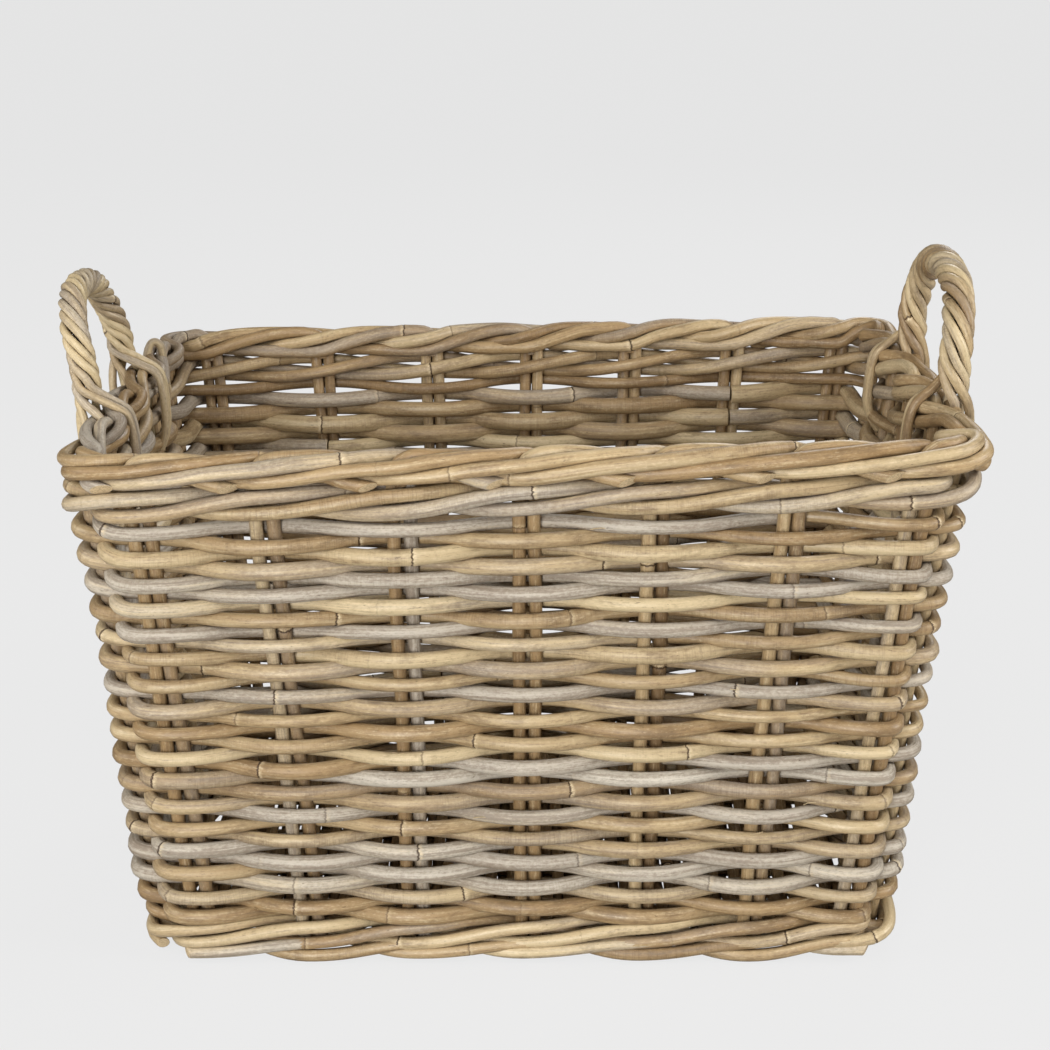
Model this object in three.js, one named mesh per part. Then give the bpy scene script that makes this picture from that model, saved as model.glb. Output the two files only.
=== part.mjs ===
import * as THREE from 'three';

// Rattan basket with leaning walls and two rope handles.
// Millimetres. X runs left to right, Y front to back (the front is at negative Y), Z up from the floor.

// Overall size
const WIDTH = 600;
const DEPTH = 420;
const HEIGHT = 380;
const TAPER = 32;
const RIM_RISE = 12;

// Canes
const CANE = 9;
const STAKE = 8.5;
const RIM_CANE = 10.4;
const HANDLE_CANE = 7.8;
const GAP = 0.3;

// Stake pairs: the same count in front and back, and in the two ends
const LONG_STAKES = 7;
const END_STAKES = 5;
const CORNER = 34;
const WAIST = 0.35;

// Weaving
const CANES_PER_WEAVER = 5;
const BUTT_GAP = 1;
const BEND_ROOM = 3;

// Rim border: three canes laid as a rope, one cane crossing over the top at each stake
const RIM_STRANDS = 3;
const RIM_SLANT = 1.05;
const RIM_STEPS = 3;
const CORNER_STEPS = 4;

// Handles
const HANDLE_HALF_SPAN = 78;
const HANDLE_RISE = 68;
const HANDLE_LEAN = 10;
const HANDLE_STRANDS = 4;
const HANDLE_TURNS = 3.75;
const HANDLE_STEPS = 24;
const HANDLE_ROUNDNESS = 2.4;
const HANDLE_SLANT = 1.12;
const SADDLE_STEPS = 3;

// Floor mat
const BASE_STICKS = 5;
const FRAME_SEAT = 6;
const MAT_OPENING = 9.5;

// Distances that follow from the sizes above
const PITCH = CANE + GAP;
const THIN_CANE = CANE - 2 * GAP;
const OFFSET = STAKE / 2 + GAP + CANE / 2;
const SKIN = OFFSET + CANE / 2;
const REACH = STAKE + BEND_ROOM;
const STAKE_COUNT = 2 * (LONG_STAKES + END_STAKES);
const HALF_TURN = LONG_STAKES + END_STAKES;
const RIM_X = WIDTH / 2 - SKIN;
const RIM_Y = DEPTH / 2 - SKIN;

const RIM_CHORD = Math.cos(Math.PI / (RIM_STRANDS * RIM_STEPS));
const RIM_TWIST_RADIUS = RIM_SLANT * (RIM_CANE + GAP) / (Math.sqrt(3) * RIM_CHORD);
const RIM_RADIUS = RIM_TWIST_RADIUS + RIM_CANE / 2;
const RIM_MIDDLE = HEIGHT - RIM_RADIUS;
const STAKE_FOOT = 1;
const STAKE_TOP = HEIGHT - 2 * RIM_RADIUS - GAP;

const FRAME_HEIGHT = CANE;
const FRAME_INSIDE = SKIN + GAP + FRAME_SEAT;
const FOOT_WALE = 2 * PITCH;
const FLOOR_MIDDLE = 1.5 * PITCH;
const ROWS_BOTTOM = 3 * PITCH;
const RIM_WALE = STAKE_TOP - PITCH;
const ROW_COUNT = Math.floor((STAKE_TOP - 2 * PITCH - ROWS_BOTTOM) / PITCH);
const ROW_PITCH = (STAKE_TOP - 2 * PITCH - ROWS_BOTTOM) / ROW_COUNT;
const END_ROW_PITCH = ROW_PITCH * ROW_COUNT / (ROW_COUNT - 1);

// A cane that turns back in one bend behind a stake pair stands a little further out
const SHORTEST_SPACE = (2 * (RIM_Y - TAPER - CORNER)) / (END_STAKES - 1);
const CROSSING = Math.atan((2 * OFFSET + GAP) / (SHORTEST_SPACE - REACH));
const INNER_OFFSET = (OFFSET + Math.sin(CROSSING) * STAKE / 2) / Math.cos(CROSSING);

const STRAW = 0xcdb68c;
const HONEY = 0xc2a474;
const GREY = 0xb9b0a2;
const PALE = 0xd6c9ad;
const TAN = 0xb99b70;
const WEAVER_COLOURS = [STRAW, GREY, HONEY, PALE, STRAW, PALE, HONEY, GREY, STRAW, HONEY];

const WALE_COLOURS = [HONEY, STRAW, GREY];

const UP = new THREE.Vector3(0, 0, 1);
const OUT_OF_ARCH = new THREE.Vector3(1, 0, 0);

// Half size of the middle of the wall at a height, in X and in Y
function wallAt(z) {
  const leanIn = TAPER * (1 - z / HEIGHT);
  return { x: RIM_X - leanIn, y: RIM_Y - leanIn };
}

// The four walls in weaving order: front, right end, back, left end
function wallOf(index) {
  const i = ((index % STAKE_COUNT) + STAKE_COUNT) % STAKE_COUNT;
  const back = i >= HALF_TURN;
  const local = back ? i - HALF_TURN : i;
  const end = local >= LONG_STAKES;
  const place = end ? local - LONG_STAKES : local;
  return { back, end, place };
}

// Point beside stake pair number index: along is measured in the weaving direction, out from the wall
function besideStake(index, z, along, out) {
  const { back, end, place } = wallOf(index);
  const half = wallAt(z);
  const turn = back ? -1 : 1;
  if (end) {
    const y = (2 * place / (END_STAKES - 1) - 1) * (half.y - CORNER);
    return new THREE.Vector3(turn * (half.x + out), turn * (y + along), z);
  }
  const x = (2 * place / (LONG_STAKES - 1) - 1) * (half.x - CORNER);
  return new THREE.Vector3(turn * (x + along), -turn * (half.y + out), z);
}

// Whether a corner of the basket is next to this stake pair
function atCorner(index) {
  const { end, place } = wallOf(index);
  return place === 0 || place === (end ? END_STAKES : LONG_STAKES) - 1;
}

// Point on the rounded outline of the wall, station counted in stake pairs
function alongWall(station, z, out) {
  const index = Math.floor(station);
  const part = station - index;
  const from = besideStake(index, z, 0, out);
  if (part === 0) {
    return from;
  }
  const to = besideStake(index + 1, z, 0, out);
  if (wallOf(index).end === wallOf(index + 1).end) {
    return from.lerp(to, part);
  }
  const middle = besideStake(index, z, 0, -CORNER);
  const angle = part * Math.PI / 2;
  const reach = CORNER + out;
  const first = from.sub(middle).normalize().multiplyScalar(Math.cos(angle) * reach);
  const second = to.sub(middle).normalize().multiplyScalar(Math.sin(angle) * reach);
  return middle.add(first).add(second);
}

// Cross sections, as [across, up] pairs. Canes are diamonds: the ridges stand where a round cane is widest.
function diamond(width, height) {
  return [[0, height / 2], [width / 2, 0], [0, -height / 2], [-width / 2, 0]];
}

function bar(width, height) {
  const w = width / 2;
  const h = height / 2;
  return [[-w, h], [w, h], [w, -h], [-w, -h]];
}

function polygon(diameter, sides) {
  const outline = [];
  for (let k = 0; k < sides; k += 1) {
    const angle = 2 * Math.PI * k / sides;
    outline.push([Math.sin(angle) * diameter / 2, Math.cos(angle) * diameter / 2]);
  }
  return outline;
}

// Two rods side by side, touching along a narrow waist
function twinRods(diameter) {
  const r = diameter / 2;
  const waist = WAIST * r;
  const right = [];
  for (let k = 0; k < 5; k += 1) {
    const angle = (0.6 - 0.3 * k) * Math.PI;
    right.push([r + r * Math.cos(angle), r * Math.sin(angle)]);
  }
  const left = right.map(([across, up]) => [-across, -up]);
  return [[0, waist], ...right, [0, -waist], ...left];
}

// Sweeps a cross section along a path, with a mitre at every bend
function sweep(path, outline, closed, reference) {
  const count = path.length;
  const around = outline.length;
  const vertices = [];
  const faces = [];
  for (let i = 0; i < count; i += 1) {
    const before = path[closed ? (i + count - 1) % count : Math.max(i - 1, 0)];
    const after = path[closed ? (i + 1) % count : Math.min(i + 1, count - 1)];
    let arriving = path[i].clone().sub(before);
    let leaving = after.clone().sub(path[i]);
    if (arriving.length() === 0) {
      arriving = leaving.clone();
    }
    if (leaving.length() === 0) {
      leaving = arriving.clone();
    }
    arriving.normalize();
    leaving.normalize();
    const forward = arriving.clone().add(leaving).normalize();
    const up = reference.clone().addScaledVector(forward, -reference.dot(forward)).normalize();
    const side = forward.clone().cross(up);
    const bend = leaving.sub(arriving);
    const stretch = 1 / forward.dot(arriving) - 1;
    if (bend.length() > 0) {
      bend.normalize();
    }
    for (const [across, rise] of outline) {
      const spoke = side.clone().multiplyScalar(across).addScaledVector(up, rise);
      spoke.addScaledVector(bend, spoke.dot(bend) * stretch);
      vertices.push(path[i].clone().add(spoke));
    }
  }
  const lengths = closed ? count : count - 1;
  for (let i = 0; i < lengths; i += 1) {
    const here = i * around;
    const next = ((i + 1) % count) * around;
    for (let k = 0; k < around; k += 1) {
      const j = (k + 1) % around;
      faces.push([here + k, here + j, next + j]);
      faces.push([here + k, next + j, next + k]);
    }
  }
  if (!closed) {
    const flat = outline.map(([across, rise]) => new THREE.Vector2(across, rise));
    const last = (count - 1) * around;
    for (const [a, b, c] of THREE.ShapeUtils.triangulateShape(flat, [])) {
      const turned = THREE.ShapeUtils.area([flat[a], flat[b], flat[c]]) < 0;
      const [p, q] = turned ? [b, c] : [c, b];
      faces.push([a, q, p]);
      faces.push([last + a, last + p, last + q]);
    }
  }
  return { vertices, faces };
}

// Makes the named solid, raised toward the right end like the handmade rim
function makePiece(name, form, colour) {
  const box = new THREE.Box3();
  for (const vertex of form.vertices) {
    vertex.z *= 1 + RIM_RISE * vertex.x / (WIDTH * HEIGHT);
    box.expandByPoint(vertex);
  }
  const origin = box.getCenter(new THREE.Vector3()).setZ(box.min.z);
  const corners = [];
  for (const face of form.faces) {
    for (const index of face) {
      corners.push(form.vertices[index].clone().sub(origin));
    }
  }
  const geometry = new THREE.BufferGeometry().setFromPoints(corners);
  geometry.computeVertexNormals();
  const material = new THREE.MeshStandardMaterial({ color: colour, roughness: 0.7, metalness: 0 });
  const mesh = new THREE.Mesh(geometry, material);
  mesh.name = name;
  mesh.position.copy(origin);
  return mesh;
}

function numbered(name, index) {
  return `${name}_${String(index + 1).padStart(2, '0')}`;
}

// Stake pair: two rods from the floor to the rim, leaning out with the wall
function stakePair(index) {
  const foot = besideStake(index, STAKE_FOOT, 0, 0);
  const head = besideStake(index, STAKE_TOP, 0, 0);
  const outward = besideStake(index, STAKE_FOOT, 0, 1).sub(foot);
  return makePiece(numbered('stake_pair', index), sweep([foot, head], twinRods(STAKE), false, outward), TAN);
}

// Height of a weaver beside a stake pair in its half turn number row
function rowHeight(index, row) {
  const { end, place } = wallOf(index);
  if (!end || place === 0) {
    return ROWS_BOTTOM + (row + 0.5) * ROW_PITCH;
  }
  if (place === END_STAKES - 1) {
    return ROWS_BOTTOM + (row + 1.5) * ROW_PITCH;
  }
  return ROWS_BOTTOM + (row + 0.5) * END_ROW_PITCH;
}

// Every stake pair one of the two weavers passes, in order, from the foot to the rim
function weaverPasses(weaver) {
  const passes = [];
  const last = HALF_TURN * (ROW_COUNT - 1) + LONG_STAKES;
  for (let t = -1; t <= last; t += 1) {
    const index = weaver * HALF_TURN + t;
    const row = Math.floor(t / HALF_TURN);
    const outside = (index + weaver + STAKE_COUNT) % 2 === 0;
    passes.push({ index, outside, z: rowHeight(index, row) });
  }
  return passes;
}

// Points of one pass: outside the pair, or inside it
function passPoints({ index, outside, z }) {
  if (outside || atCorner(index) || wallOf(index).end) {
    const out = outside ? OFFSET : -OFFSET;
    return [besideStake(index, z, -REACH, out), besideStake(index, z, REACH, out)];
  }
  return [besideStake(index, z, 0, -INNER_OFFSET)];
}

// Two weavers chase each other up the wall. Each is laid as a run of canes that butt behind a stake pair.
function weaverCanes(weaver) {
  const passes = weaverPasses(weaver);
  const share = passes.length / CANES_PER_WEAVER;
  const canes = [];
  let path = [];
  passes.forEach((pass, t) => {
    const due = t > share * (canes.length + 1) && canes.length < CANES_PER_WEAVER - 1;
    if (due && !pass.outside && !atCorner(pass.index)) {
      path.push(besideStake(pass.index, pass.z, -REACH, -OFFSET));
      path.push(besideStake(pass.index, pass.z, -BUTT_GAP / 2, -OFFSET));
      canes.push(path);
      path = [];
      path.push(besideStake(pass.index, pass.z, BUTT_GAP / 2, -OFFSET));
      path.push(besideStake(pass.index, pass.z, REACH, -OFFSET));
      return;
    }
    path.push(...passPoints(pass));
  });
  canes.push(path);
  return canes.map((points, k) => {
    const number = weaver * CANES_PER_WEAVER + k;
    const form = sweep(points, diamond(CANE, CANE), false, UP);
    return makePiece(numbered('weaver', number), form, WEAVER_COLOURS[number]);
  });
}

// Three rod wale: each rod runs outside two stake pairs, rising, then inside one and down again
function waleRod(name, middle, rod, colour) {
  const low = middle - PITCH / 2;
  const high = middle + PITCH / 2;
  const path = [];
  for (let index = 0; index < STAKE_COUNT; index += 1) {
    const stage = (index + rod) % 3;
    const out = stage === 2 ? -OFFSET : OFFSET;
    path.push(besideStake(index, stage === 0 ? low : high, -REACH, out));
    path.push(besideStake(index, stage === 1 ? high : low, REACH, out));
  }
  return makePiece(numbered(name, rod), sweep(path, diamond(THIN_CANE, THIN_CANE), true, UP), colour);
}

// One of the three canes of the roped rim border
function rimStrand(strand, colour) {
  const path = [];
  for (let index = 0; index < STAKE_COUNT; index += 1) {
    const corner = wallOf(index).end !== wallOf(index + 1).end;
    const steps = corner ? CORNER_STEPS : RIM_STEPS;
    for (let step = 0; step < steps; step += 1) {
      const station = index + step / steps;
      const twist = 2 * Math.PI * (station + strand) / RIM_STRANDS;
      const point = alongWall(station, RIM_MIDDLE, RIM_TWIST_RADIUS * Math.cos(twist));
      point.z += RIM_TWIST_RADIUS * Math.sin(twist);
      path.push(point);
    }
  }
  return makePiece(numbered('rim_cane', strand), sweep(path, polygon(RIM_CANE, 6), true, UP), colour);
}

// Hoop of the foot, straight along the walls and round at the corners
function footHoop(name, out, outline, colour) {
  const roundOut = (CORNER + out) / Math.cos(Math.PI / (4 * CORNER_STEPS)) - CORNER;
  const path = [];
  for (let index = 0; index < STAKE_COUNT; index += 1) {
    const corner = wallOf(index).end !== wallOf(index + 1).end;
    if (corner) {
      for (let step = 0; step < CORNER_STEPS; step += 1) {
        path.push(alongWall(index + (step + 0.5) / CORNER_STEPS, FRAME_HEIGHT / 2, roundOut));
      }
    }
  }
  return makePiece(name, sweep(path, outline, true, UP), colour);
}

// Flat frame under the floor mat, inside the stakes
function baseFrame() {
  const outer = STAKE / 2 + GAP;
  const width = FRAME_INSIDE - outer;
  return footHoop('base_frame', -(FRAME_INSIDE + outer) / 2, bar(width, FRAME_HEIGHT), HONEY);
}

// The outermost sticks lie two cane widths in from the edge of the frame
function baseStickY(stick) {
  const room = wallAt(0).y - FRAME_INSIDE - 2 * CANE;
  return (2 * stick / (BASE_STICKS - 1) - 1) * room;
}

// Stick across the floor, its ends resting on the frame
function baseStick(stick) {
  const z = FLOOR_MIDDLE;
  const y = baseStickY(stick);
  const reach = wallAt(z).x - SKIN - GAP;
  const path = [new THREE.Vector3(-reach, y, z), new THREE.Vector3(reach, y, z)];
  return makePiece(numbered('base_stick', stick), sweep(path, diamond(CANE, CANE), false, UP), TAN);
}

// One long cane woven to and fro through the base sticks
function baseWeaver() {
  const z = FLOOR_MIDDLE;
  const lift = (CANE + FLOOR_MIDDLE - THIN_CANE / 2) / 2;
  const reach = wallAt(0).x - FRAME_INSIDE - CANE / 2 - GAP;
  const spacing = CANE + MAT_OPENING;
  const lengths = Math.floor(2 * reach / spacing);
  const turnY = wallAt(0).y - FRAME_INSIDE;
  const path = [];
  for (let length = 0; length <= lengths; length += 1) {
    const x = (length - lengths / 2) * spacing;
    const way = length % 2 === 0 ? 1 : -1;
    path.push(new THREE.Vector3(x, -way * turnY, z));
    for (let k = 0; k < BASE_STICKS; k += 1) {
      const stick = way > 0 ? k : BASE_STICKS - 1 - k;
      const over = (stick + length) % 2 === 0 ? 1 : -1;
      path.push(new THREE.Vector3(x, baseStickY(stick), z + over * lift));
    }
    path.push(new THREE.Vector3(x, way * turnY, z));
  }
  return makePiece('base_weaver', sweep(path, diamond(THIN_CANE, THIN_CANE), false, UP), STRAW);
}

// Middle line of a handle, from the near foot over the top to the far foot
function handleMiddle(angle, low) {
  const power = 2 / HANDLE_ROUNDNESS;
  const across = Math.abs(Math.cos(angle)) ** power * Math.sign(Math.cos(angle));
  const up = Math.sin(angle) ** power;
  return new THREE.Vector3(HANDLE_LEAN * up, -HANDLE_HALF_SPAN * across, low + HANDLE_RISE * up);
}

// Middle line cut into equal lengths
function handleLine(low) {
  const fine = [];
  const cuts = 40 * HANDLE_STEPS;
  for (let k = 0; k <= cuts; k += 1) {
    fine.push(handleMiddle(Math.PI * k / cuts, low));
  }
  const curve = new THREE.CatmullRomCurve3(fine);
  curve.arcLengthDivisions = 4 * cuts;
  return curve.getSpacedPoints(HANDLE_STEPS);
}

// Canes of a handle: twisted over the arch, parting over the rim, held against both faces of the wall
function handleStrand(side, strand) {
  const chord = Math.cos(Math.PI * HANDLE_TURNS / HANDLE_STEPS);
  const radius = HANDLE_SLANT * (HANDLE_CANE + GAP) / (Math.SQRT2 * chord);
  const clear = RIM_RADIUS + GAP + HANDLE_CANE / 2;
  const start = radius * Math.SQRT1_2;
  const first = Math.asin(start / clear);
  const step = (Math.PI / 2 - first) / SADDLE_STEPS;
  const saddle = (clear + GAP) / Math.cos(step / 2);
  const low = RIM_MIDDLE + saddle * Math.cos(first) + GAP;
  const line = handleLine(low);
  const hold = Math.max(RIM_RADIUS, SKIN) + 2 * GAP + HANDLE_CANE / 2;
  const foot = RIM_WALE - PITCH;
  const path = [];

  function twistAt(k) {
    return Math.PI / 4 + Math.PI / 2 * strand - 2 * Math.PI * HANDLE_TURNS * k / HANDLE_STEPS;
  }
  function leg(k, y) {
    const outward = Math.sign(Math.cos(twistAt(k)));
    const points = [];
    for (let bend = 1; bend <= SADDLE_STEPS; bend += 1) {
      const angle = first + bend * step;
      const z = RIM_MIDDLE + saddle * Math.cos(angle);
      points.push(new THREE.Vector3(outward * saddle * Math.sin(angle), y, z));
    }
    const lean = wallAt(foot).x - wallAt(RIM_MIDDLE).x;
    points.push(new THREE.Vector3(lean + outward * hold, y, foot));
    return points;
  }

  line.forEach((middle, k) => {
    const next = line[Math.min(k + 1, HANDLE_STEPS)];
    const past = line[Math.max(k - 1, 0)];
    const ahead = next.clone().sub(past);
    if (k === 0 || k === HANDLE_STEPS) {
      ahead.set(0, 0, k === 0 ? 1 : -1);
    }
    ahead.normalize();
    const sideways = OUT_OF_ARCH.clone().addScaledVector(ahead, -ahead.x).normalize();
    const inPlane = ahead.clone().cross(sideways);
    const twist = twistAt(k);
    const point = middle.clone();
    point.addScaledVector(sideways, radius * Math.cos(twist));
    point.addScaledVector(inPlane, radius * Math.sin(twist));
    path.push(point);
  });
  const near = leg(0, path[0].y).reverse();
  const far = leg(HANDLE_STEPS, path[HANDLE_STEPS].y);
  const whole = [...near, ...path, ...far];
  for (const point of whole) {
    point.x += wallAt(RIM_MIDDLE).x;
  }
  if (side < 0) {
    for (const point of whole) {
      point.x *= -1;
      point.y *= -1;
    }
  }
  const name = side < 0 ? 'handle_left' : 'handle_right';
  const form = sweep(whole, polygon(HANDLE_CANE, 5), false, OUT_OF_ARCH);
  return makePiece(numbered(name, strand), form, strand % 2 === 0 ? STRAW : PALE);
}

const basket = new THREE.Group();
basket.name = 'basket';

const walls = new THREE.Group();
walls.name = 'walls';
for (let index = 0; index < STAKE_COUNT; index += 1) {
  walls.add(stakePair(index));
}
walls.add(...weaverCanes(0), ...weaverCanes(1));
basket.add(walls);

const foot = new THREE.Group();
foot.name = 'foot';
for (let rod = 0; rod < 3; rod += 1) {
  foot.add(waleRod('foot_wale', FOOT_WALE, rod, WALE_COLOURS[rod]));
}
foot.add(footHoop('foot_hoop', OFFSET, bar(CANE, FRAME_HEIGHT), STRAW));
foot.add(baseFrame());
for (let stick = 0; stick < BASE_STICKS; stick += 1) {
  foot.add(baseStick(stick));
}
foot.add(baseWeaver());
basket.add(foot);

const rim = new THREE.Group();
rim.name = 'rim';
for (let rod = 0; rod < 3; rod += 1) {
  rim.add(waleRod('rim_wale', RIM_WALE, rod, WALE_COLOURS[2 - rod]));
}
for (let strand = 0; strand < RIM_STRANDS; strand += 1) {
  rim.add(rimStrand(strand, WALE_COLOURS[strand]));
}
basket.add(rim);

const handles = new THREE.Group();
handles.name = 'handles';
for (let strand = 0; strand < HANDLE_STRANDS; strand += 1) {
  handles.add(handleStrand(1, strand), handleStrand(-1, strand));
}
basket.add(handles);

export default basket;
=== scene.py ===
import math

import bpy
import numpy as np
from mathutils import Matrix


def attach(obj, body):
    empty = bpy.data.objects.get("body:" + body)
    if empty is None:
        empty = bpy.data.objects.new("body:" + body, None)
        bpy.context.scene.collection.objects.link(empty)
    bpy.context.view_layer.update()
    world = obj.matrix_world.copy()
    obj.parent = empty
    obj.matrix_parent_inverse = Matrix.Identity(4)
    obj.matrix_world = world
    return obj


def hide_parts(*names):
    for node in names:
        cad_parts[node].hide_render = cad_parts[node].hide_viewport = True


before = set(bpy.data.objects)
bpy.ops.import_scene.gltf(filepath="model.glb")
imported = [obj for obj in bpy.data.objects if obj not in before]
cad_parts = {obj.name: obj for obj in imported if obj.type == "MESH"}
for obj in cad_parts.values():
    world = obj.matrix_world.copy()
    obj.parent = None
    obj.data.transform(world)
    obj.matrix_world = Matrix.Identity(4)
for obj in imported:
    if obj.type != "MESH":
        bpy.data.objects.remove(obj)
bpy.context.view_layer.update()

# Floor: a frame of two rods laid inside the stakes, five sticks across it and one long cane woven to and fro
# through the sticks, packed close. The photograph doesn't show it, so it is a usual rattan floor. It is made
# first, so the outline of the walls, the laying of a round cane and its finish are settled here.
WIDTH, DEPTH, HEIGHT = 0.600, 0.420, 0.375
TAPER = 0.032
# From the outside of a wall to its middle
SKIN = 0.01355
RIM_X, RIM_Y = WIDTH / 2 - SKIN, DEPTH / 2 - SKIN
LONG_STAKES, END_STAKES = 7, 5
HALF_TURN = LONG_STAKES + END_STAKES
STAKES = 2 * HALF_TURN
CORNER = 0.034
SQUARENESS = 0.86
# How far each stake pair of a long wall stands to the right of its even place, at the foot and at the rim,
# from left to right, in millimetres
FRONT_DRIFT = ((0, 3), (1, -1), (-1, 5), (2, 1), (6, 1), (7, 4), (-1, 2))
BACK_DRIFT = ((-3, -5), (2, 2), (6, 8), (4, 5), (2, 2), (1, 2), (2, 3))
# How far the two end walls stand in from their straight lean, millimetres at heights in metres
INSET_HEIGHTS = (0.0, 0.02, 0.05, 0.08, 0.15, 0.23, 0.30, 0.325, 0.345, 0.360)
RIGHT_INSET = (12.0, 11.5, 10.0, 9.0, 11.5, 11.0, 8.0, 6.5, 5.0, 5.5)
LEFT_INSET = (5.0, 4.0, -1.0, 0.0, 0.5, 2.5, 0.0, -2.0, -1.0, 0.0)


def wall_half(z):
    """Half the length and half the depth of the basket at a height, to the middle of its walls."""
    lean = TAPER * (1 - z / HEIGHT)
    return RIM_X - lean, RIM_Y - lean


def wall_of(index):
    """Where a stake pair stands: in the second half turn or not, in an end wall or not, and its place there.

    The first half turn is the front, from left to right, and the right end. The second goes on along the back
    and the left end.
    """
    index %= STAKES
    second = index >= HALF_TURN
    local = index - HALF_TURN if second else index
    end = local >= LONG_STAKES
    return second, end, local - LONG_STAKES if end else local


def drift(back, place, z):
    """How far a pair of a long wall stands to the right of its even place."""
    foot, rim = BACK_DRIFT[LONG_STAKES - 1 - place] if back else FRONT_DRIFT[place]
    return (foot + (rim - foot) * z / HEIGHT) / 1000


def beside(index, z, along=0.0, out=0.0):
    """Point beside a stake pair: along is in the weaving direction, out is away from the wall."""
    second, end, place = wall_of(index)
    half_x, half_y = wall_half(z)
    turn = -1 if second else 1
    if end:
        y = (2 * place / (END_STAKES - 1) - 1) * (half_y - CORNER)
        inset = np.interp(z, INSET_HEIGHTS, LEFT_INSET if second else RIGHT_INSET) / 1000
        return np.array((turn * (half_x - inset + out), turn * (y + along), z))
    x = (2 * place / (LONG_STAKES - 1) - 1) * (half_x - CORNER)
    return np.array((turn * (x + along) + drift(second, place, z), -turn * (half_y + out), z))


def along_wall(station, z, out):
    """Point on the rounded outline of the wall, with station counted in stake pairs."""
    index = math.floor(station)
    part = station - index
    here = beside(index, z, 0.0, out)
    if part == 0:
        return here
    there = beside(index + 1, z, 0.0, out)
    if wall_of(index)[1] == wall_of(index + 1)[1]:
        return here + (there - here) * part
    middle = beside(index, z, 0.0, -CORNER)
    angle = part * math.pi / 2
    reach = CORNER + out
    near, far = math.cos(angle) ** SQUARENESS, math.sin(angle) ** SQUARENESS
    first = (here - middle) / np.linalg.norm(here - middle)
    second = (there - middle) / np.linalg.norm(there - middle)
    return middle + first * near * reach + second * far * reach


def distance_along(path):
    """How far along a path each of its points lies."""
    return np.concatenate(([0], np.cumsum(np.linalg.norm(np.diff(path, axis=0), axis=1))))


def spline(points, samples=12):
    """Smooth path through points."""
    points = np.asarray(points, float)
    ends = np.concatenate(([2 * points[0] - points[1]], points, [2 * points[-1] - points[-2]]))
    t = np.linspace(0, 1, samples, endpoint=False)[:, None]
    parts = []
    for a, b, c, d in zip(ends, ends[1:], ends[2:], ends[3:]):
        squared, cubed = 2 * a - 5 * b + 4 * c - d, 3 * b - a - 3 * c + d
        parts.append(0.5 * (2 * b + (c - a) * t + squared * t**2 + cubed * t**3))
    return np.concatenate(parts + [[points[-1]]])


# A cane's node rings: the space between them, the least distance from one to an end of the cane, and how near
# and how sharp a bend has to be to draw one to itself, the last as one over its radius
KNOT_SPACE = (0.14, 0.36)
KNOT_MARGIN = 0.02
KNOT_PULL = 0.03
KINK = 32
# The shape of a node ring: distances along the cane, and how much thicker the cane is there. Its marks are
# full up to the first distance below, and the second is its whole reach
KNOT_PROFILE = (
    (-0.0079, 0.0), (-0.0045, 0.0), (-0.0014, 0.045), (-0.0004, 0.055),
    (0.0003, -0.02), (0.0012, 0.06), (0.0060, 0.0), (0.0079, 0.0),
)
KNOT_MARKED, KNOT_REACH = 0.0073, 0.008
KNOT_STRENGTHS = (0.15, 0.5, 1.0)
# A cane's rings of points: corners in each, the longest step and the greatest turn from one to the next, the
# distances of the last three from the cane's end, how those narrow, and the room that they need
SIDES = 12
STEP = 0.0062
BEND = 0.22
END_RINGS = (0.0, 0.0003, 0.0009)
END_BEVEL = (0.86, 0.97, 1.0)
END_ROOM = 0.0013
# How uneven a cane is: two slow swellings and its oval section, each as a share of its radius with the length
# of the wave over two pi, and how far it wanders off its path to each side, with the lengths of those waves
FINE_SWELL, COARSE_SWELL = (0.018, 0.019), (0.032, 0.061)
OVAL = (0.022, 0.05)
WANDER = 0.00045
WANDER_WAVES = (0.023, 0.037)
# Painted shade on the back wall: how much of the lime wash is taken off there, and how much browner its canes
# are painted
BACK_SHADE_WASH_LOST, BACK_SHADE_BROWNING = 0.2, 0.15
# How much higher the rim is at the right than at the left, and how much lower in front than in the back
RIM_RISE = 0.012
FRONT_SINK = 0.0026


def knots_along(length, curvature, chance):
    """Where a cane's node rings lie: spaced by chance, or at a sharp bend that is near."""
    knots = []
    place = chance.uniform(KNOT_MARGIN, KNOT_SPACE[1])
    last = length[-1] - KNOT_MARGIN
    while place < last:
        near = np.flatnonzero(np.abs(length - place) < KNOT_PULL)
        sharpest = near[curvature[near].argmax()]
        drawn = curvature[sharpest] > KINK and KNOT_MARGIN < length[sharpest] < last
        knots.append(length[sharpest] if drawn else place)
        place += chance.uniform(*KNOT_SPACE)
    return knots


def stations_of(length, curvature, knots, start, end):
    """Where along a cane its rings of points lie: closer where it bends, and round each node ring."""
    density = np.maximum(1 / STEP, curvature / BEND)
    total = np.concatenate(([0], np.cumsum((density[1:] + density[:-1]) / 2 * np.diff(length))))
    count = max(4, int(total[-1]))
    even = np.interp(np.linspace(0, total[-1], count), total, length)
    wanted = [s for s in even if start < s < length[-1] - end]
    for knot in knots:
        wanted = [s for s in wanted if abs(s - knot) > KNOT_REACH]
        wanted += [knot + shift for shift, _ in KNOT_PROFILE]
    return np.array(sorted(wanted))


def directions_along(centre, s):
    """Three directions at each ring of points, without twist: along the cane and two across it."""
    forward = np.gradient(centre, s, axis=0)
    forward /= np.linalg.norm(forward, axis=1)[:, None]
    across = np.zeros_like(centre)
    guess = np.cross(forward[0], (0.31, 0.17, 0.93))
    for i, ahead in enumerate(forward):
        guess = guess - ahead * guess.dot(ahead)
        guess /= np.linalg.norm(guess)
        across[i] = guess
    return forward, across, np.cross(forward, across)


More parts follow.
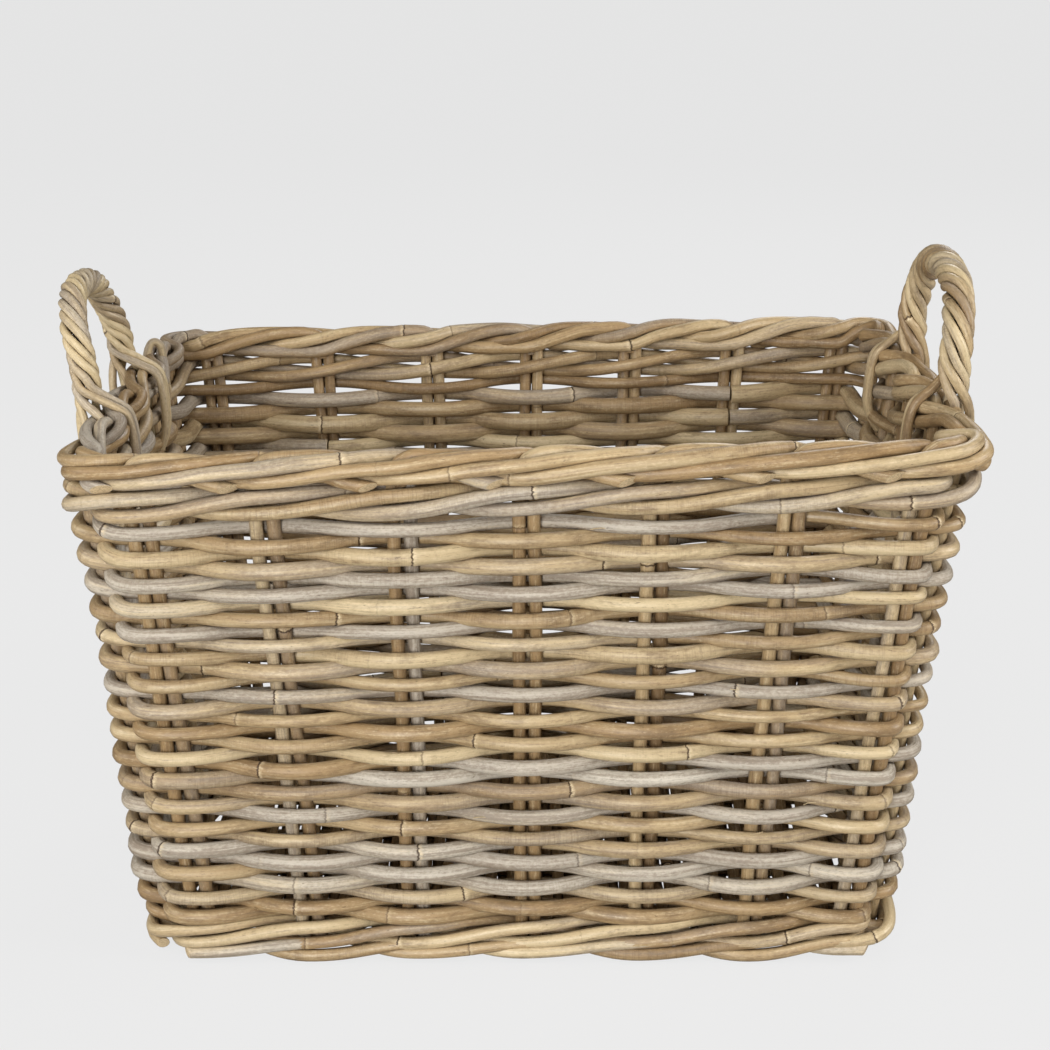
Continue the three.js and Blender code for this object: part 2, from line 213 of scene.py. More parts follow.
def faces_of(rings, sides):
    """Four-cornered faces between the rings of points, and three-cornered ones that close the two ends."""
    ring = np.arange(rings - 1)[:, None] * sides
    here = np.arange(sides)[None, :]
    ahead = (here + 1) % sides
    corners = (ring + here, ring + ahead, ring + sides + ahead, ring + sides + here)
    skin = np.stack(corners, -1).reshape(-1, 4)
    first, last = rings * sides, rings * sides + 1
    base = (rings - 1) * sides
    caps = [(first, int(b), int(a)) for a, b in zip(here[0], ahead[0])]
    caps += [(last, base + int(a), base + int(b)) for a, b in zip(here[0], ahead[0])]
    return skin, caps


def lay_cane(path, diameter, chance, wash, cuts=((0, 0), (0, 0)), sides=SIDES, warm=0.0):
    """One round cane along a path of points: slightly uneven, with node rings and two ends.

    Each end's cut slopes so that the cane is longest toward up and toward the left of its path.
    Its points carry what the finish needs. grain: metres along and across the straightened cane.
    marks: millimetres past a node ring, that ring's strength, and 1 on a cut end.
    rod: how much lime wash the cane kept, how much browner it is (partly painted shade on the back wall and
    on the recessed stake rods) and how scaly.
    """
    path = np.asarray(path, float)
    thickness = np.broadcast_to(diameter, len(path))
    steps = np.linalg.norm(np.diff(path, axis=0), axis=1)
    kept = np.concatenate(([True], steps > 1e-6))
    path, thickness = path[kept], thickness[kept]
    length = distance_along(path)
    whole = length[-1]
    lead = np.gradient(path, length, axis=0)
    curvature = np.linalg.norm(np.gradient(lead, length, axis=0), axis=1)
    radius = thickness.mean() / 2
    knots = knots_along(length, curvature, chance)
    trim = [END_ROOM + 2 * math.hypot(*cut) * radius for cut in cuts]
    s = stations_of(length, curvature, knots, trim[0], trim[1])
    s = np.concatenate((END_RINGS, s, [whole - step for step in reversed(END_RINGS)]))
    centre = np.stack([np.interp(s, length, path[:, k]) for k in range(3)], 1)
    forward, across, up = directions_along(centre, s)

    fine, coarse, sideways, upward, twist, _ = chance.uniform(0, 2 * math.pi, 6)
    swell = FINE_SWELL[0] * np.sin(s / FINE_SWELL[1] + fine)
    swell += COARSE_SWELL[0] * np.sin(s / COARSE_SWELL[1] + coarse)
    to_knot, strength = np.full_like(s, KNOT_REACH), np.zeros_like(s)
    shifts, rises = zip(*KNOT_PROFILE)
    for knot in knots:
        away = s - knot
        near = np.abs(away) <= KNOT_REACH
        to_knot[near] = away[near]
        strength[np.abs(away) < KNOT_MARKED] = chance.choice(KNOT_STRENGTHS)
        swell += strength * np.interp(away, shifts, rises, 0, 0)
    centre += across * (WANDER * np.sin(s / WANDER_WAVES[0] + sideways))[:, None]
    centre += up * (WANDER * np.sin(s / WANDER_WAVES[1] + upward))[:, None]
    bevel = np.ones_like(s)
    bevel[:3] = END_BEVEL
    bevel[-3:] = END_BEVEL[::-1]
    ring_radius = np.interp(s, length, thickness / 2) * (1 + swell) * bevel

    angle = np.arange(sides) * 2 * math.pi / sides
    oval = 1 + OVAL[0] * np.cos(2 * (angle[None, :] - twist - s[:, None] / OVAL[1]))
    spoke = ring_radius[:, None] * oval
    side_way, up_way = spoke * np.cos(angle), spoke * np.sin(angle)
    spokes = across[:, None, :] * side_way[..., None] + up[:, None, :] * up_way[..., None]
    shift = np.zeros_like(spoke)
    both_ends = (slice(0, 3), cuts[0], forward[0], 1), (slice(-3, None), cuts[1], forward[-1], -1)
    for ends, (rise, left), ahead, sense in both_ends:
        slope = np.array((-left * ahead[1], left * ahead[0], rise))
        shift[ends] = sense * (math.hypot(rise, left) * radius - spokes[ends] @ slope)
    points = centre[:, None, :] + spokes + forward[:, None, :] * shift[..., None]
    middle = points[[0, -1]].mean(axis=1)
    vertices = np.concatenate((points.reshape(-1, 3), middle))

    offset = chance.uniform(0, 50)
    lengthways = np.broadcast_to(s[:, None], spoke.shape) + offset
    grain = np.stack((lengthways, side_way, up_way), -1).reshape(-1, 3)
    grain = np.concatenate((grain, [(offset, 0, 0), (offset + whole, 0, 0)]))
    cut = np.zeros_like(s)
    cut[[0, -1]] = 1.0
    marks = np.stack((to_knot * 1000, strength, cut), -1)
    marks = np.concatenate((np.repeat(marks, sides, axis=0), [(0, 0, 1), (0, 0, 1)]))
    # Painted shade: canes toward the back get browner with less lime wash, as if the far wall lay in shade
    back = np.clip(centre[:, 1] / 0.1, 0, 1)
    warm = warm + chance.uniform() + BACK_SHADE_BROWNING * back
    scaly = np.full_like(s, max(0.0, chance.uniform(-1.6, 1.0)))
    rod = np.stack((wash * (1 - BACK_SHADE_WASH_LOST * back), warm, scaly), -1)
    rod = np.concatenate((np.repeat(rod, sides, axis=0), rod[[0, -1]]))
    skin, caps = faces_of(len(s), sides)
    return {"vertices": vertices, "skin": skin, "caps": caps, "grain": grain, "marks": marks, "rod": rod}


def bundle(name, canes, node, finish):
    """Joins laid canes into one piece that stands for a CAD node, and tilts it with the rim."""
    vertices = np.concatenate([cane["vertices"] for cane in canes])
    vertices[:, 2] *= 1 + RIM_RISE * vertices[:, 0] / (WIDTH * HEIGHT)
    front = np.clip(0.5 - vertices[:, 1] / 0.2, 0, 1)
    vertices[:, 2] -= FRONT_SINK * front * np.clip(vertices[:, 2] / HEIGHT, 0, 1) ** 6
    faces, smooth = [], []
    base = 0
    for cane in canes:
        faces += (cane["skin"] + base).tolist()
        faces += [tuple(corner + base for corner in face) for face in cane["caps"]]
        smooth += [True] * len(cane["skin"]) + [False] * len(cane["caps"])
        base += len(cane["vertices"])
    mesh = bpy.data.meshes.new(name)
    mesh.from_pydata(vertices.tolist(), [], faces)
    for label in ("grain", "marks", "rod"):
        values = np.concatenate([cane[label] for cane in canes]).astype(np.float32)
        mesh.attributes.new(label, "FLOAT_VECTOR", "POINT").data.foreach_set("vector", values.ravel())
    mesh.polygons.foreach_set("use_smooth", smooth)
    mesh.materials.append(finish)
    mesh.update()
    piece = bpy.data.objects.new(name, mesh)
    bpy.context.scene.collection.objects.link(piece)
    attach(piece, "root")
    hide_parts(node)


def colour(red, green, blue):
    """A colour as it shows on a screen, 0 to 255, as the shader's linear one."""
    parts = [c / 255 for c in (red, green, blue)]
    return (*(c / 12.92 if c < 0.04045 else ((c + 0.055) / 1.055) ** 2.4 for c in parts), 1.0)


class Wire:
    """A shader socket that takes part in sums: an expression on it adds its Math nodes."""

    def __init__(self, finish, socket):
        self.finish = finish
        self.socket = socket

    def __add__(self, other):
        return self.finish.sum("ADD", self, other)

    def __sub__(self, other):
        return self.finish.sum("SUBTRACT", self, other)

    def __rsub__(self, other):
        return self.finish.sum("SUBTRACT", other, self)

    def __mul__(self, other):
        return self.finish.sum("MULTIPLY", self, other)

    __radd__ = __add__
    __rmul__ = __mul__

    def sibling(self, name):
        """Another output of the same node."""
        return Wire(self.finish, self.socket.node.outputs[name])


class Finish:
    """A material while it is put together."""

    def __init__(self, name):
        self.material = bpy.data.materials.new(name)
        self.material.use_nodes = True
        self.tree = self.material.node_tree
        self.tree.nodes.clear()

    def node(self, kind, settings, inputs, output=0):
        """Adds a node: its settings first, then the value or link of each socket named or numbered."""
        made = self.tree.nodes.new("ShaderNode" + kind)
        for key, value in settings.items():
            setattr(made, key, value)
        for key, value in inputs.items():
            if isinstance(value, Wire):
                self.tree.links.new(value.socket, made.inputs[key])
            else:
                made.inputs[key].default_value = value
        return Wire(self, made.outputs[output])

    def sum(self, operation, first, second):
        """Adds the Math or Vector Math node of an expression."""
        kinds = [v.socket.type if isinstance(v, Wire) else type(v) for v in (first, second)]
        kind = "VectorMath" if "VECTOR" in kinds or tuple in kinds else "Math"
        return self.node(kind, {"operation": operation}, {0: first, 1: second})

    def stored(self, name):
        """What a cane's points carry under a name."""
        return self.node("Attribute", {"attribute_name": name}, {}, "Vector")

    def split(self, vector):
        """The three numbers of a vector."""
        first = self.node("SeparateXYZ", {}, {0: vector})
        return first, first.sibling("Y"), first.sibling("Z")

    def noise(self, where, detail=2.0, rough=0.5):
        """Cloudy noise, from 0 to 1."""
        spread = {"Vector": where, "Scale": 1.0, "Detail": detail, "Roughness": rough}
        return self.node("TexNoise", {}, spread)

    def ease(self, value, low, high, start=0.0, end=1.0):
        """A smooth step of value, from start at low to end at high."""
        spread = {"Value": value, "From Min": low, "From Max": high, "To Min": start, "To Max": end}
        return self.node("MapRange", {"interpolation_type": "SMOOTHSTEP"}, spread)

    def paint(self, mask, below, above):
        """Mixes two colours by a mask."""
        return self.node("Mix", {"data_type": "RGBA"}, {0: mask, 6: below, 7: above}, 2)

    def close(self, shader):
        """Ends the material with its shader."""
        end = self.tree.nodes.new("ShaderNodeOutputMaterial")
        self.tree.links.new(shader.socket, end.inputs["Surface"])
        return self.material


STRAW, HONEY, UMBER = colour(0xCC, 0xB8, 0x91), colour(0xAC, 0x8E, 0x64), colour(0x6E, 0x57, 0x3C)
LIME, ASH = colour(0xCB, 0xC4, 0xB6), colour(0x98, 0x8E, 0x81)
PITH, SCAR = colour(0xE2, 0xCE, 0xA8), colour(0x40, 0x2C, 0x1A)


def cane_finish(name, lime, warmth):
    """Peeled rattan with a worn lime wash, and with painted shade where rods meet.

    lime and warmth say how much more of the wash is left and how much browner these rods are than others.
    Each noise takes its size from its waves to the metre, along the straightened cane and across it.
    """
    finish = Finish(name)
    along = finish.stored("grain")
    knot, strength, cut = finish.split(finish.stored("marks"))
    washed, warm, scaly = finish.split(finish.stored("rod"))

    fibres = finish.noise(along * (42.0, 950.0, 950.0), 3.0, 0.7)
    streaks = finish.noise(along * (9.0, 330.0, 330.0), 3.0, 0.6)
    mottle = finish.noise(along * (330.0, 620.0, 620.0), 3.0, 0.7)
    blotches = finish.noise(along * (38.0, 110.0, 110.0), 4.0, 0.7)
    patches = finish.noise(along * (6.5, 45.0, 45.0), 2.0, 0.5)
    flecks = finish.noise(along * (170.0, 620.0, 620.0), 2.0, 0.6)
    ticks = finish.noise(along * (1100.0, 55.0, 55.0), 2.0, 0.6)

    # Bare cane: straw to honey, with brown blotches and with brown and pale fibres
    grain = fibres * 0.4 + mottle * 0.35 + streaks * 0.25
    tone = finish.ease(streaks * 0.6 + warm * 0.6 + patches * 0.5 + warmth - 0.35, 0.2, 0.85)
    bare = finish.paint(tone, STRAW, HONEY)
    bare = finish.paint(finish.ease(blotches + warm * 0.12, 0.52, 0.76, 0.0, 0.6), bare, UMBER)
    bare = finish.paint(finish.ease(grain, 0.51, 0.64, 0.0, 0.60), bare, UMBER)
    bare = finish.paint(finish.ease(grain, 0.49, 0.38, 0.0, 0.55), bare, PITH)

    # The lime wash with its grey streaks, where it hasn't worn off, and a browning over both: by chance on
    # old rods, and as painted shade on the back wall and the recessed stake rods
    chalk = finish.paint(finish.ease(streaks * 0.8 + mottle * 0.5 + fibres * 0.4, 0.72, 1.0), LIME, ASH)
    cover = finish.ease(washed * 0.8 + patches * 0.7 + streaks * 0.4 + fibres * 0.3 + lime, 0.98, 1.36)
    skin = finish.paint(cover * 0.88, bare, chalk)
    browning_and_shade = finish.ease(warm * 0.5 + scaly * 0.2 + patches * 0.6, 0.1, 1.3, 0.0, 0.50)
    skin = finish.paint(browning_and_shade, skin, UMBER)

    # Fine cracks across the bark of scaly rods, and dark flecks
    crackle = finish.ease(ticks, 0.50, 0.60) * scaly * finish.ease(patches + blotches * 0.5, 0.62, 0.80)
    skin = finish.paint(crackle * 0.28, skin, UMBER)
    skin = finish.paint(finish.ease(flecks + mottle * 0.2, 0.79, 0.88, 0.0, 0.6), skin, SCAR)

    # Node rings: a dark groove with a wavy edge, and a pale frayed collar after it
    wavy = knot + finish.noise(along * (120.0, 420.0, 420.0), 3.0, 0.7) * 4.0 - 2.0
    collar = finish.ease(wavy, 0.4, 1.0) * finish.ease(wavy, 4.0, 1.2) * strength
    skin = finish.paint(collar * finish.ease(mottle, 0.42, 0.58, 0.10, 0.75), skin, PITH)
    ring = finish.ease(wavy, -0.95, -0.15) * finish.ease(wavy, 0.95, 0.15) * strength
    skin = finish.paint(ring * 0.9, skin, SCAR)

    # Cut ends of pith with open pores, and painted shade in the narrow places between rods
    pores = finish.ease(finish.noise(along * (900.0, 1500.0, 1500.0), 1.0), 0.48, 0.66, 0.0, 0.45)
    end = finish.paint(pores, finish.paint(0.42, PITH, HONEY), UMBER)
    skin = finish.paint(cut, skin, end)
    # Painted shade: the colour turns dark where other rods are close by, standing in for shadow in the gaps
    painted_crevice_shade = finish.node("AmbientOcclusion", {"samples": 6}, {"Distance": 0.007}, "AO")
    skin = finish.paint(finish.ease(painted_crevice_shade, 0.60, 0.12, 0.0, 0.62), skin, SCAR)

    height = streaks * 0.4 + blotches * 0.4 - fibres * 0.3 - mottle * 0.2
    height = height - crackle * 0.25 - ring * 0.9 + collar * 0.2
    bump = finish.node("Bump", {}, {"Strength": 0.6, "Distance": 0.0008, "Height": height})
    matt = finish.ease(streaks + cover * 0.4 + cut * 0.5, 0.3, 1.1, 0.38, 0.62)
    coat = {"Base Color": skin, "Roughness": matt, "Normal": bump, "Specular IOR Level": 0.42}
    return finish.close(finish.node("BsdfPrincipled", {}, coat))


CANE = 0.009
GAP = 0.0003
FRAME_SEAT = 0.006
FRAME_INSIDE = SKIN + GAP + FRAME_SEAT
# The frame's two rods: how far out from the wall, height, diameter and lime wash
FRAME_RODS = ((-0.0142, 0.0052, 0.0090, 0.2), (-0.0200, 0.0046, 0.0085, 0.1))
FLOOR_MIDDLE = 1.5 * (CANE + GAP)
BASE_STICKS = 5
STICK = 0.0080
MAT_CANE = 0.0092
MAT_PITCH = 0.0080
MAT_WAVE = 0.0070
MAT_MARGIN = 0.003


def hoop(out, z):
    """Path round the inside of the walls."""
    return [along_wall(station, z, out) for station in np.linspace(0, STAKES, STAKES * 8)]


def stick_y(stick):
    """Where a stick lies along Y: the five are spread evenly over the floor."""
    return (2 * stick / (BASE_STICKS - 1) - 1) * (wall_half(0)[1] - FRAME_INSIDE - 2 * CANE)


base_finish = cane_finish("base_cane", 0.02, 0.12)
chance = np.random.default_rng(70)
rods = [lay_cane(hoop(out, z), diameter, chance, wash) for out, z, diameter, wash in FRAME_RODS]
bundle("floor_frame", rods, "base_frame", base_finish)

reach = wall_half(0)[0] - SKIN - GAP
for stick in range(BASE_STICKS):
    chance = np.random.default_rng(80 + stick)
    y = stick_y(stick)
    path = [(x, y + 0.0004 * math.sin(x / 0.05), FLOOR_MIDDLE) for x in np.linspace(-reach, reach, 60)]
    cane = lay_cane(path, STICK, chance, 0.15)
    bundle(f"floor_stick_{stick + 1:02d}", [cane], f"base_stick_{stick + 1:02d}", base_finish)

chance = np.random.default_rng(90)
reach = wall_half(0)[0] - FRAME_INSIDE - CANE
lengths = int(2 * reach / MAT_PITCH)
turn_y = wall_half(0)[1] - FRAME_INSIDE - MAT_MARGIN
bends = []
for length in range(lengths + 1):
    x = (length / lengths - 0.5) * 2 * reach
    way = 1 if length % 2 == 0 else -1
    bends.append((x, -way * turn_y, FLOOR_MIDDLE))
    for k in range(BASE_STICKS):
        stick = k if way > 0 else BASE_STICKS - 1 - k
        over = 1 if (stick + length) % 2 == 0 else -1
        bends.append((x, stick_y(stick), FLOOR_MIDDLE + over * MAT_WAVE))
    bends.append((x, way * turn_y, FLOOR_MIDDLE))
cane = lay_cane(spline(bends, 8), MAT_CANE, chance, 0.2, sides=10)
bundle("floor_mat", [cane], "base_weaver", base_finish)

# Stakes: pairs of round rattan rods that stand in the floor frame and lean out with the walls. Each pair is
# two canes side by side, driven in as one. Every rod of the walls is woven round them.
STAKE = 0.0092
STAKE_FOOT, STAKE_TOP = 0.008, 0.3585
PAIR_GAP = 0.0005
STAKE_SWAY = 0.0003
STAKE_WASHES = (0.1, 0.3, 0.6, 0.85)
PLAIN_ODDS, LIMY_ODDS = (0.6, 0.3, 0.1, 0.0), (0.1, 0.3, 0.4, 0.2)
# The right rod of each front pair stands deeper in the wall and is painted browner as shade, by these two
# amounts: a depth in metres and a painted shade. That of the dark pair is deeper and darker still
RECESSED_SHADED, DARKEST_SHADED = (0.0014, 0.5), (0.0045, 1.6)
SHADED_PAIR = 4

stake_finish = cane_finish("stake_cane", -0.06, 0.22)
for index in range(STAKES):
    chance = np.random.default_rng(100 + index)
    in_front = index < LONG_STAKES
    gap = PAIR_GAP if in_front else 0.0
    rods = []
    for side in (-1, 1):
        recessed = in_front and side > 0
        wash = chance.choice(STAKE_WASHES, p=LIMY_ODDS if recessed else PLAIN_ODDS)
        diameter = STAKE * chance.uniform(0.96, 1.03)
        lean = chance.uniform(-0.0004, 0.0004)
        depth, warm = 0.0, 0.0
        if recessed:
            # Painted shade: the recessed right rods are browned as if they stood in shadow
            depth, warm = DARKEST_SHADED if index == SHADED_PAIR else RECESSED_SHADED
        path = []
        for z in np.linspace(STAKE_FOOT, STAKE_TOP, 40):
            away = side * (STAKE / 2 + gap + STAKE_SWAY * math.sin(z / 0.05 + index))
            out = lean - depth + STAKE_SWAY * math.sin(z / 0.03 + side)
            path.append(beside(index, z, away, out))
        rods.append(lay_cane(path, diameter, chance, wash, sides=10, warm=warm))
    bundle(f"stake_rods_{index + 1:02d}", rods, f"stake_pair_{index + 1:02d}", stake_finish)

# Weaving rods: single canes that run in front of one stake pair and behind the next, packed down row on row.
# Two weavers chase each other half a turn apart. Where a rod runs out, the next one starts behind a pair.
OFFSET = 0.0092
ROWS_BOTTOM, ROWS_TOP = 0.0275, 0.32
ROW_COUNT = 33
ROW_PITCH = 0.00895
END_ROW_PITCH = ROW_PITCH * ROW_COUNT / (ROW_COUNT - 1)
CANES_PER_WEAVER = 5
STRAIGHT_PULL, CORNER_PULL = 0.42, 0.84
SAMPLES = 26
# How far the rows stray from their even places: up or down and in or out by chance, the first row up, and the
# top rows up in the first and in the second half turn
ROW_STRAY, OUT_STRAY = 0.0008, 0.0003
FIRST_LIFT = 0.0025
TOP_LIFTS = (0.0018, 0.0080)
# A rod: how much stouter it may be, how many stake pairs it passes before the next one may start, the gap at
# its ends, how many pairs there are to a splinter, and how much lime wash it kept with how often
WEAVER_STOUT = (1.03, 1.31)
WEAVER_REACH = (12, 30)
END_GAP = 0.0005
SPLINTER_SPACE = 8
WEAVER_WASHES = (0.02, 0.12, 0.3, 0.5, 0.8, 1.0)
WEAVER_ODDS = (0.18, 0.18, 0.18, 0.16, 0.16, 0.14)


def heading(index):
    """Weaving direction beside a stake pair."""
    second, end, _ = wall_of(index)
    turn = -1.0 if second else 1.0
    return np.array((0.0, turn, 0.0)) if end else np.array((turn, 0.0, 0.0))


def row_height(index, row):
    """Height of a weaver beside a stake pair in its half turn number row."""
    _, end, place = wall_of(index)
    if not end or place == 0:
        return ROWS_BOTTOM + (row + 0.5) * ROW_PITCH
    if place == END_STAKES - 1:
        return ROWS_BOTTOM + (row + 1.5) * ROW_PITCH
    return ROWS_BOTTOM + (row + 0.5) * END_ROW_PITCH


def bend_between(start, start_way, end, end_way, corner_pull):
    """Smooth bend from one pass to the next, tighter round a corner of the basket."""
    gap = end - start
    corner = abs(np.dot(start_way[:2], end_way[:2])) < 0.5
    pull = corner_pull if corner else STRAIGHT_PULL
    near = start + start_way * abs(gap.dot(start_way)) * pull
    far = end - end_way * abs(gap.dot(end_way)) * pull
    t = np.linspace(0, 1, SAMPLES, endpoint=False)[:, None]
    u = 1 - t
    return start * u**3 + near * 3 * u * u * t + far * 3 * u * t * t + end * t**3


def woven_path(passes, corner_pull=CORNER_PULL):
    """Path through passes of (point, direction)."""
    parts = [bend_between(*here, *there, corner_pull) for here, there in zip(passes, passes[1:])]
    return np.concatenate(parts + [[passes[-1][0]]])


def at_corner(index):
    """Whether a corner of the basket is next to this stake pair."""
    _, end, place = wall_of(index)
    return place in (0, (END_STAKES if end else LONG_STAKES) - 1)


def stoutness(path):
    """How much thicker the weaving rods are: more in the upper back wall, less at the right of the front."""
    x, y, z = path.T
    stouter = 0.03 + 0.21 * np.clip((z - 0.16) / 0.1, 0, 1)
    slimmer = 0.02 + 0.11 * np.clip((x - 0.06) / 0.18, 0, 1)
    return 1 + np.clip(y / 0.1, 0, 1) * stouter - np.clip(-y / 0.1, 0, 1) * slimmer


def splinter(path, diameter, chance):
    """A short hair of cane that has lifted from a rod."""
    start = int(chance.uniform(0.05, 0.95) * (len(path) - 2))
    root, ahead = path[start], path[start + 1] - path[start]
    ahead = ahead / np.linalg.norm(ahead) * chance.choice((-1, 1))
    half_x, half_y = wall_half(root[2])
    long_wall = abs(root[1]) / half_y > abs(root[0]) / half_x
    outward = np.array((0, np.sign(root[1]), 0) if long_wall else (np.sign(root[0]), 0, 0))
    tilt = chance.uniform(-0.6, 1.2)
    lift = outward * math.cos(tilt) + np.array((0, 0, math.sin(tilt)))
    length = chance.uniform(0.005, 0.012) if long_wall else 0.003
    t = np.linspace(0, 1, 9)[:, None]
    hair = root + lift * diameter * 0.46 + ahead * length * t + lift * length * 0.45 * t * t
    return lay_cane(hair, chance.uniform(0.0004, 0.0008), chance, 0.1, sides=4)


weaver_finish = cane_finish("weaver_cane", 0.0, 0.0)
for weaver in (0, 1):
    turns = range(-1, HALF_TURN * (ROW_COUNT - 1) + LONG_STAKES + 1)
    share = len(turns) / CANES_PER_WEAVER
    chance = np.random.default_rng(7 + weaver)
    pieces, rods, passes = [], [], []
    wash = 0.3
    since = 0
    for count, t in enumerate(turns):
        index = weaver * HALF_TURN + t
        outside = (index + weaver) % 2 == 0
        z = row_height(index, t // HALF_TURN) + chance.normal(0, ROW_STRAY)
        z += FIRST_LIFT * math.exp(-t / HALF_TURN) + TOP_LIFTS[wall_of(index)[0]] * (z / ROWS_TOP) ** 4
        out = OFFSET * (1 if outside else -1) + chance.normal(0, OUT_STRAY)
        point, way = beside(index, z, 0.0, out), heading(index)
        due = count > share * (len(pieces) + 1) and len(pieces) < CANES_PER_WEAVER - 1
        ready = not outside and not at_corner(index)
        since += 1
        if ready and (due or since > chance.uniform(*WEAVER_REACH)):
            passes.append((point - way * END_GAP, way))
            diameter = CANE * chance.uniform(*WEAVER_STOUT)
            path = woven_path(passes)
            rods.append(lay_cane(path, diameter * stoutness(path), chance, wash))
            rods += [splinter(path, diameter, chance) for _ in range(since // SPLINTER_SPACE)]
            wash = chance.choice(WEAVER_WASHES, p=WEAVER_ODDS)
            passes = [(point + way * END_GAP, way)]
            since = 0
            if due:
                pieces.append(rods)
                rods = []
        else:
            passes.append((point, way))
    rods.append(lay_cane(woven_path(passes), CANE, chance, wash))
    pieces.append(rods)
    for k, rods in enumerate(pieces):
        number = weaver * CANES_PER_WEAVER + k + 1
        bundle(f"woven_rods_{number:02d}", rods, f"weaver_{number:02d}", weaver_finish)

# Wales: two bands of three rods, one at the foot and one under the rim. Each rod runs outside two stake
# pairs, rising, then behind one and down again, which locks the foot and the border in place.
WALE_RISE = 0.0058
WALE_OFFSET = OFFSET + 0.0004
# What a rod does at one stake pair after the other: how high, how far out and how steep
WALE_STAGES = ((-WALE_RISE, WALE_OFFSET, 0.06), (WALE_RISE, WALE_OFFSET, 0.06), (0.0, -OFFSET, -0.20))
# Name, first seed, height, how much lower in the first half turn, and its rods: how stout, how much lime wash
# they kept and how much browner they are
WALES = (
    ("foot_wale", 60, 0.0205, 0.0, (0.94, 1.02), (0.25, 0.35, 0.45), 0.1),
    ("rim_wale", 380, 0.3405, 0.0010, (1.06, 1.16), (0.1, 0.35, 0.6), 0.0),
)

wale_finish = cane_finish("wale_cane", 0.0, 0.10)
for name, seed, middle, sink, stout, washes, warm in WALES:
    for rod in range(3):
        chance = np.random.default_rng(seed + rod)
        diameter = CANE * chance.uniform(*stout)
        passes = []
        first = (2 - rod) % 3
        for index in range(first, first + STAKES + 1):
            rise, out, slope = WALE_STAGES[(index + rod) % 3]
            z = middle + rise + chance.normal(0, OUT_STRAY)
            z -= 0.0 if wall_of(index)[0] else sink
            out += chance.normal(0, OUT_STRAY)
            passes.append((beside(index, z, 0.0, out), heading(index) + np.array((0, 0, slope))))
        wash = chance.choice(washes)
        cane = lay_cane(woven_path(passes), diameter, chance, wash, warm=warm)
        bundle(f"{name}_rod_{rod + 1:02d}", [cane], f"{name}_{rod + 1:02d}", wale_finish)

# Rim border: the upper end of each stake pair bent down to the right. It drops behind the next pair, comes
# out low, rises in front of two more, passes behind the fourth and ends in a slanting cut under the border.
RIM_CANE = 0.0097
RIM_MIDDLE = 0.3629
# Stake spaces from its own pair, millimetres out from the wall, millimetres above the middle of the border
BORDER_BENDS = (
    (0.00, 0.0, -14.0), (0.00, 0.0, -6.0), (-0.005, 0.0, 0.5), (0.05, 0.0, 5.0), (0.14, -0.2, 6.7),
    (0.30, -1.0, 6.8), (0.50, -3.0, 5.0), (0.75, -7.0, 0.0), (1.00, -9.6, -6.2), (1.25, -4.5, -7.3),
    (1.50, -1.0, -7.4), (1.75, 4.5, -7.2), (2.00, 10.0, -6.2), (2.30, 11.6, -4.2), (2.60, 12.6, -0.8),
    (3.00, 12.6, 2.6), (3.30, 9.6, 5.1), (3.60, 5.2, 6.3), (3.82, -1.0, 5.9), (4.00, -9.3, 3.8),
    (4.20, -8.0, -0.6), (4.40, 1.0, -3.6), (4.58, 8.5, -7.4), (4.84, 13.6, -11.6),
)
# How far each bend strays from that by chance, in millimetres, and how the two ends are cut
BEND_STRAY = 0.35
BORDER_CUTS = ((0, 0), (0.8, 1.0))
RIM_WASHES, RIM_ODDS = (0.0, 0.12, 0.3, 0.7), (0.35, 0.3, 0.15, 0.2)
# Stake pairs at the left end whose bent tops are pale with lime, and how much slimmer the border is there
PALE_BENDS = (18, 19)
PALE_WASH = 0.9
LEFT_SLIMMING = 0.15

rim_finish = cane_finish("rim_cane", -0.04, 0.20)
border = [[], [], []]
for index in range(STAKES):
    chance = np.random.default_rng(300 + index)
    bends = []
    for stage, out, lift in BORDER_BENDS:
        out += chance.normal(0, BEND_STRAY)
        lift += chance.normal(0, BEND_STRAY)
        bends.append(along_wall(index + stage, RIM_MIDDLE + lift / 1000, out / 1000))
    wash = chance.choice(RIM_WASHES, p=RIM_ODDS)
    wash = PALE_WASH if index in PALE_BENDS else wash
    path = spline(bends)
    left_end = np.clip((-0.24 - path[:, 0]) / 0.03, 0, 1) * np.clip((0.19 - np.abs(path[:, 1])) / 0.03, 0, 1)
    diameter = RIM_CANE * chance.uniform(0.94, 1.10) * (1 - LEFT_SLIMMING * left_end)
    border[index % 3].append(lay_cane(path, diameter, chance, wash, BORDER_CUTS, sides=14))
for strand, rods in enumerate(border):
    bundle(f"border_rods_{strand + 1:02d}", rods, f"rim_cane_{strand + 1:02d}", rim_finish)

# Foot: a lower band of rods under the foot wale, its lower edge uneven where each rod dips to the floor.
# It stands on the floor and hides the ends of the stakes.
FOOT_CANE = CANE * 0.96
# What a rod does at one stake pair after the other: how high, how far out and how steep
FOOT_STAGES = ((0.0050, OFFSET + 0.0022, 0.02), (0.0140, OFFSET, 0.06), (0.0128, -OFFSET, -0.14))
# How far a dip may stay above its lowest, and how much higher the rods are beside a corner
FOOT_UNEVEN = 0.0024
FOOT_CORNER_LIFT = 0.0022
# Each rod: which of the first three stake pairs has its first stage, the rod's own first and last stake pair,
# how far its ends stand past them, and how far the last end turns round the corner
FOOT_RODS = (
    (0, 0, 6, 0.014, 0.017, 0.0),
    (0, 8, 23, 0.0, 0.0, 0.0),
    (1, 3, 27, 0.0, 0.0, 0.0),
    (2, 1, 23, 0.0, 0.033, 0.012),
)
FOOT_CORNER_PULL = 0.58
FOOT_CUTS = ((0.1, 0.5), (0.3, 0.5))

